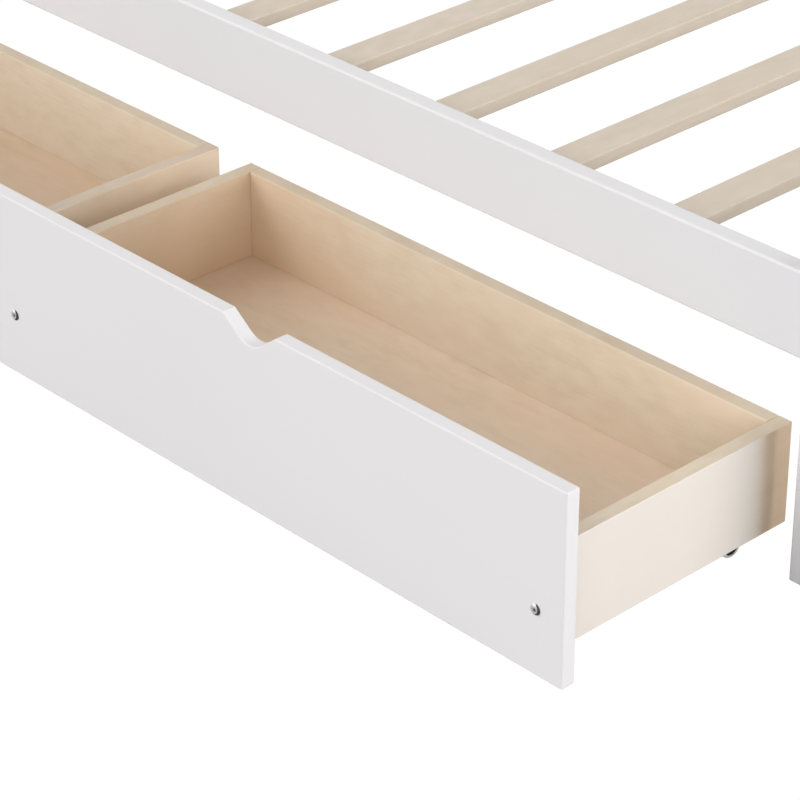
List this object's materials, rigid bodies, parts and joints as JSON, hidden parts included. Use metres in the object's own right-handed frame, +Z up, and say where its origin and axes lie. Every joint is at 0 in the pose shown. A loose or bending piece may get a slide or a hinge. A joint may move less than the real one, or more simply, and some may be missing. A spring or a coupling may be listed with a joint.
{
  "type": "bed frame",
  "caption": "Single bed frame in white-painted pine with a headboard and slatted base, and storage drawers on castors that roll out from under one long side.",
  "frame": {"origin": "on the floor, at the middle of the box around the whole object with its drawers pulled out as at rest", "axes": "+Z up, +X along the bed from its head to its foot, and the drawers open towards -Y"},
  "size_m": [2.0236, 1.4086, 0.9],
  "materials": {
    "white_paint": "satin white paint over pine",
    "natural_pine": "sanded pine with a thin clear matt lacquer",
    "chromed_steel": "polished",
    "zinc_steel": "bright zinc plated",
    "black_steel": "semi-gloss black",
    "grey_rubber": "moulded"
  },
  "bodies": {
    "frame": {"head_post_front": "white_paint", "head_post_back": "white_paint", "foot_post_front": "white_paint", "foot_post_back": "white_paint", "bed_bolt_head_front": "zinc_steel", "bed_bolt_head_back": "zinc_steel", "bed_bolt_foot_front": "zinc_steel", "bed_bolt_foot_back": "zinc_steel", "side_rail_front": "white_paint", "side_rail_back": "white_paint", "slat_ledger_front": "natural_pine", "slat_ledger_back": "natural_pine", "slat_01": "natural_pine", "slat_02": "natural_pine", "slat_03": "natural_pine", "slat_04": "natural_pine", "slat_05": "natural_pine", "slat_06": "natural_pine", "slat_07": "natural_pine", "slat_08": "natural_pine", "slat_09": "natural_pine", "slat_10": "natural_pine", "slat_11": "natural_pine", "head_rail": "white_paint", "foot_rail": "white_paint", "headboard_cap": "white_paint", "headboard_board_1": "white_paint", "headboard_board_2": "white_paint", "headboard_board_3": "white_paint"},
    "drawer_left_castor_front_left_wheel": {"drawer_left_castor_front_left_wheel": "grey_rubber"},
    "drawer_left_castor_front_right_wheel": {"drawer_left_castor_front_right_wheel": "grey_rubber"},
    "drawer_left_castor_back_left_wheel": {"drawer_left_castor_back_left_wheel": "grey_rubber"},
    "drawer_left_castor_back_right_wheel": {"drawer_left_castor_back_right_wheel": "grey_rubber"},
    "drawer_left": {"drawer_left_front_panel": "white_paint", "drawer_left_side_left": "natural_pine", "drawer_left_side_right": "natural_pine", "drawer_left_back": "natural_pine", "drawer_left_bottom": "natural_pine", "drawer_left_bolt_left": "chromed_steel", "drawer_left_bolt_right": "chromed_steel", "drawer_left_castor_front_left_fork": "black_steel", "drawer_left_castor_front_right_fork": "black_steel", "drawer_left_castor_back_left_fork": "black_steel", "drawer_left_castor_back_right_fork": "black_steel"},
    "drawer_right_castor_front_left_wheel": {"drawer_right_castor_front_left_wheel": "grey_rubber"},
    "drawer_right_castor_front_right_wheel": {"drawer_right_castor_front_right_wheel": "grey_rubber"},
    "drawer_right_castor_back_left_wheel": {"drawer_right_castor_back_left_wheel": "grey_rubber"},
    "drawer_right_castor_back_right_wheel": {"drawer_right_castor_back_right_wheel": "grey_rubber"},
    "drawer_right": {"drawer_right_front_panel": "white_paint", "drawer_right_side_left": "natural_pine", "drawer_right_side_right": "natural_pine", "drawer_right_back": "natural_pine", "drawer_right_bottom": "natural_pine", "drawer_right_bolt_left": "chromed_steel", "drawer_right_bolt_right": "chromed_steel", "drawer_right_castor_front_left_fork": "black_steel", "drawer_right_castor_front_right_fork": "black_steel", "drawer_right_castor_back_left_fork": "black_steel", "drawer_right_castor_back_right_fork": "black_steel"}
  },
  "joints": [
    {"name": "drawer_left_slide", "type": "slide", "parent": "frame", "child": "drawer_left", "axis": [0, -1, 0], "range_m": [-0.353, 0.045]},
    {"name": "drawer_left_castor_front_left_spin", "type": "hinge", "parent": "drawer_left", "child": "drawer_left_castor_front_left_wheel", "pos_m": [-0.8822, -0.639, 0.015], "axis": [1, 0, 0], "continuous": true},
    {"name": "drawer_left_castor_front_right_spin", "type": "hinge", "parent": "drawer_left", "child": "drawer_left_castor_front_right_wheel", "pos_m": [-0.0748, -0.639, 0.015], "axis": [1, 0, 0], "continuous": true},
    {"name": "drawer_left_castor_back_left_spin", "type": "hinge", "parent": "drawer_left", "child": "drawer_left_castor_back_left_wheel", "pos_m": [-0.8822, -0.3593, 0.015], "axis": [1, 0, 0], "continuous": true},
    {"name": "drawer_left_castor_back_right_spin", "type": "hinge", "parent": "drawer_left", "child": "drawer_left_castor_back_right_wheel", "pos_m": [-0.0748, -0.3593, 0.015], "axis": [1, 0, 0], "continuous": true},
    {"name": "drawer_right_slide", "type": "slide", "parent": "frame", "child": "drawer_right", "axis": [0, -1, 0], "range_m": [-0.353, 0.045]},
    {"name": "drawer_right_castor_front_left_spin", "type": "hinge", "parent": "drawer_right", "child": "drawer_right_castor_front_left_wheel", "pos_m": [0.0748, -0.639, 0.015], "axis": [1, 0, 0], "continuous": true},
    {"name": "drawer_right_castor_front_right_spin", "type": "hinge", "parent": "drawer_right", "child": "drawer_right_castor_front_right_wheel", "pos_m": [0.8822, -0.639, 0.015], "axis": [1, 0, 0], "continuous": true},
    {"name": "drawer_right_castor_back_left_spin", "type": "hinge", "parent": "drawer_right", "child": "drawer_right_castor_back_left_wheel", "pos_m": [0.0748, -0.3593, 0.015], "axis": [1, 0, 0], "continuous": true},
    {"name": "drawer_right_castor_back_right_spin", "type": "hinge", "parent": "drawer_right", "child": "drawer_right_castor_back_right_wheel", "pos_m": [0.8822, -0.3593, 0.015], "axis": [1, 0, 0], "continuous": true}
  ],
  "couplings": [
    {"joint": "drawer_left_castor_front_left_spin", "follows": "drawer_left_slide", "rad_per_m": 66.667},
    {"joint": "drawer_left_castor_front_right_spin", "follows": "drawer_left_slide", "rad_per_m": 66.667},
    {"joint": "drawer_left_castor_back_left_spin", "follows": "drawer_left_slide", "rad_per_m": 66.667},
    {"joint": "drawer_left_castor_back_right_spin", "follows": "drawer_left_slide", "rad_per_m": 66.667},
    {"joint": "drawer_right_castor_front_left_spin", "follows": "drawer_right_slide", "rad_per_m": 66.667},
    {"joint": "drawer_right_castor_front_right_spin", "follows": "drawer_right_slide", "rad_per_m": 66.667},
    {"joint": "drawer_right_castor_back_left_spin", "follows": "drawer_right_slide", "rad_per_m": 66.667},
    {"joint": "drawer_right_castor_back_right_spin", "follows": "drawer_right_slide", "rad_per_m": 66.667}
  ]
}
